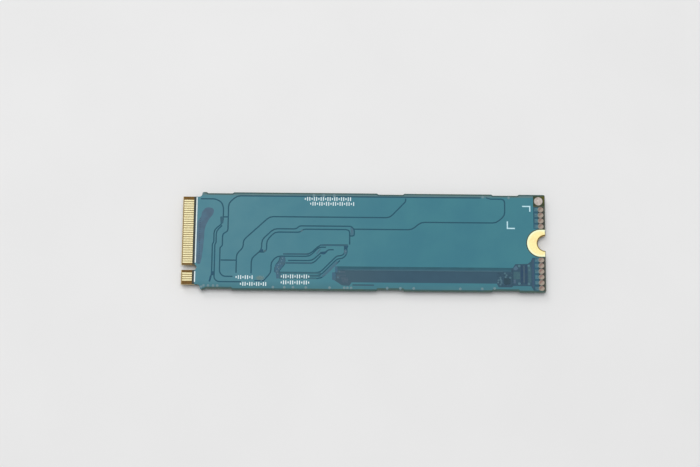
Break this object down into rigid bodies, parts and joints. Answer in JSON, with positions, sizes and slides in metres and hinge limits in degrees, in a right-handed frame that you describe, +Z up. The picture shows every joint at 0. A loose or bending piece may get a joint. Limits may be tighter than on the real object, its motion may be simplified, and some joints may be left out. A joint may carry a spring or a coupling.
{
  "type": "gumstick solid state drive",
  "caption": "Bare gumstick storage card with a keyed contact tongue, a half-round screw notch, etched copper areas and chips on one side.",
  "frame": {"origin": "on the table under the middle of the card, at the outer faces of the large chips", "axes": "+X along the card towards the screw notch, +Y across the card, +Z up out of the bare side"},
  "size_m": [0.08, 0.022, 0.0022],
  "materials": {
    "solder_mask": "satin teal solder mask over copper on glass laminate",
    "gold_plate": "thin gold plating over nickel",
    "black_mould": "matt black moulding compound",
    "grey_ferrite": "pressed grey ferrite",
    "bright_lid": "bright nickel plated lid",
    "tan_ceramic": "fired tan ceramic",
    "black_ceramic": "black glazed ceramic"
  },
  "bodies": {
    "root": {"cache_capacitor_1": "tan_ceramic", "cache_capacitor_2": "tan_ceramic", "cache_capacitor_3": "tan_ceramic", "cache_capacitor_4": "tan_ceramic", "cache_memory": "black_mould", "clock_crystal": "bright_lid", "controller": "black_mould", "controller_capacitor_1": "tan_ceramic", "controller_capacitor_2": "tan_ceramic", "controller_capacitor_3": "tan_ceramic", "controller_capacitor_4": "tan_ceramic", "controller_capacitor_5": "tan_ceramic", "coupling_capacitor_1": "tan_ceramic", "coupling_capacitor_2": "tan_ceramic", "coupling_capacitor_3": "tan_ceramic", "coupling_capacitor_4": "tan_ceramic", "coupling_capacitor_5": "tan_ceramic", "coupling_capacitor_6": "tan_ceramic", "coupling_capacitor_7": "tan_ceramic", "coupling_capacitor_8": "tan_ceramic", "firmware_memory": "black_mould", "flash_capacitor_1": "tan_ceramic", "flash_capacitor_2": "tan_ceramic", "flash_capacitor_3": "tan_ceramic", "flash_capacitor_4": "tan_ceramic", "flash_capacitor_5": "tan_ceramic", "flash_capacitor_6": "tan_ceramic", "flash_capacitor_7": "tan_ceramic", "flash_capacitor_8": "tan_ceramic", "flash_memory_1": "black_mould", "flash_memory_2": "black_mould", "input_capacitor_1": "tan_ceramic", "input_capacitor_2": "tan_ceramic", "input_capacitor_3": "tan_ceramic", "load_switch": "black_mould", "output_capacitor_1": "tan_ceramic", "output_capacitor_2": "tan_ceramic", "output_capacitor_3": "tan_ceramic", "output_capacitor_4": "tan_ceramic", "output_capacitor_5": "tan_ceramic", "power_converter": "black_mould", "power_inductor_1": "grey_ferrite", "power_inductor_2": "grey_ferrite", "power_inductor_3": "grey_ferrite", "printed_circuit_board": "solder_mask", "pull_up_resistor_1": "black_ceramic", "pull_up_resistor_2": "black_ceramic", "pull_up_resistor_3": "black_ceramic", "pull_up_resistor_4": "black_ceramic", "pull_up_resistor_5": "black_ceramic", "pull_up_resistor_6": "black_ceramic", "screw_ground_pad_lower": "gold_plate", "screw_ground_pad_upper": "gold_plate", "surge_diode": "black_mould", "temperature_sensor": "black_mould", "voltage_regulator": "black_mould"}
  },
  "joints": []
}
